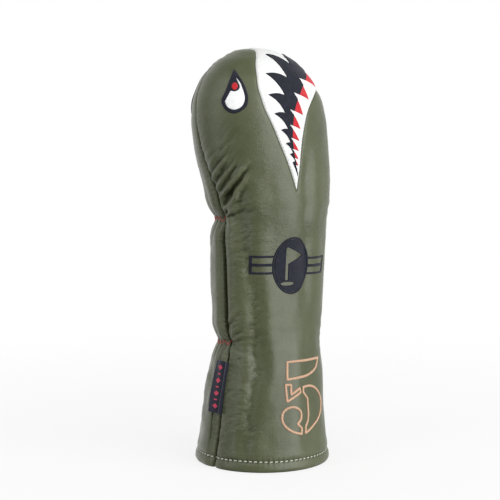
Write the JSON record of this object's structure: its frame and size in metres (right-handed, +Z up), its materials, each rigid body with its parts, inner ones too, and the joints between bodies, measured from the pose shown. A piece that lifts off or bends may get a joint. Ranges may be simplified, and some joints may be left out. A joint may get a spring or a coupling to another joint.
{
  "type": "fairway wood head cover",
  "caption": "Slim padded leather golf club head cover with domed head, elasticated waist, appliqued jaws and eyes, barred oval badge, stencil figure and a woven seam label.",
  "frame": {"origin": "in the hem plane, under the middle of the overall width and depth", "axes": "+Z up from the hem to the crown, -Y towards the front panel with the badge and figure, +X to the wearer's right as the front is viewed"},
  "size_m": [0.1144, 0.1058, 0.32],
  "materials": {
    "olive_leather": "olive green full-grain leather, fine grain, soft satin",
    "white_leather": "white smooth leather, satin",
    "white_embroidery": "white satin-stitch thread",
    "navy_embroidery": "dark navy satin-stitch thread",
    "red_embroidery": "bright red satin-stitch thread",
    "tan_cord": "pale tan satin-stitched cord",
    "pale_thread": "off-white topstitch thread",
    "red_thread": "dark red zigzag thread",
    "elastic": "black woven elastic",
    "padding": "thin knitted foam padding",
    "lining": "dark brushed fleece lining",
    "label_weave": "near-black navy woven label with red woven marks"
  },
  "bodies": {
    "cover": {"front_panel": "olive_leather", "back_panel": "olive_leather", "mouth_inset": "white_leather", "mouth_gum": "red_embroidery", "mouth_throat": "navy_embroidery", "mouth_topstitch": "pale_thread", "eye_outline_front": "navy_embroidery", "eye_white_front": "white_embroidery", "eye_pupil_front": "red_embroidery", "eye_outline_back": "navy_embroidery", "eye_white_back": "white_embroidery", "eye_pupil_back": "red_embroidery", "badge_ring": "navy_embroidery", "badge_disc": "navy_embroidery", "badge_bar_left": "navy_embroidery", "badge_bar_right": "navy_embroidery", "number_flag": "tan_cord", "number_stem": "tan_cord", "number_hook": "tan_cord", "number_bowl": "tan_cord", "hem_facing": "olive_leather", "hem_topstitch": "pale_thread", "elastic_upper": "elastic", "elastic_stitch_upper": "red_thread", "elastic_lower": "elastic", "elastic_stitch_lower": "red_thread", "front_padding": "padding", "back_padding": "padding", "front_lining": "lining", "back_lining": "lining"},
    "label": {"woven_label": "label_weave"}
  },
  "joints": [
    {"name": "label_flap", "type": "hinge", "parent": "cover", "child": "label", "pos_m": [-0.04725, -0.00997, 0.041], "axis": [0.2038, -0.002, 0.979], "range_deg": [-5, 110], "stiffness_Nm_per_rad": 0.00002}
  ]
}
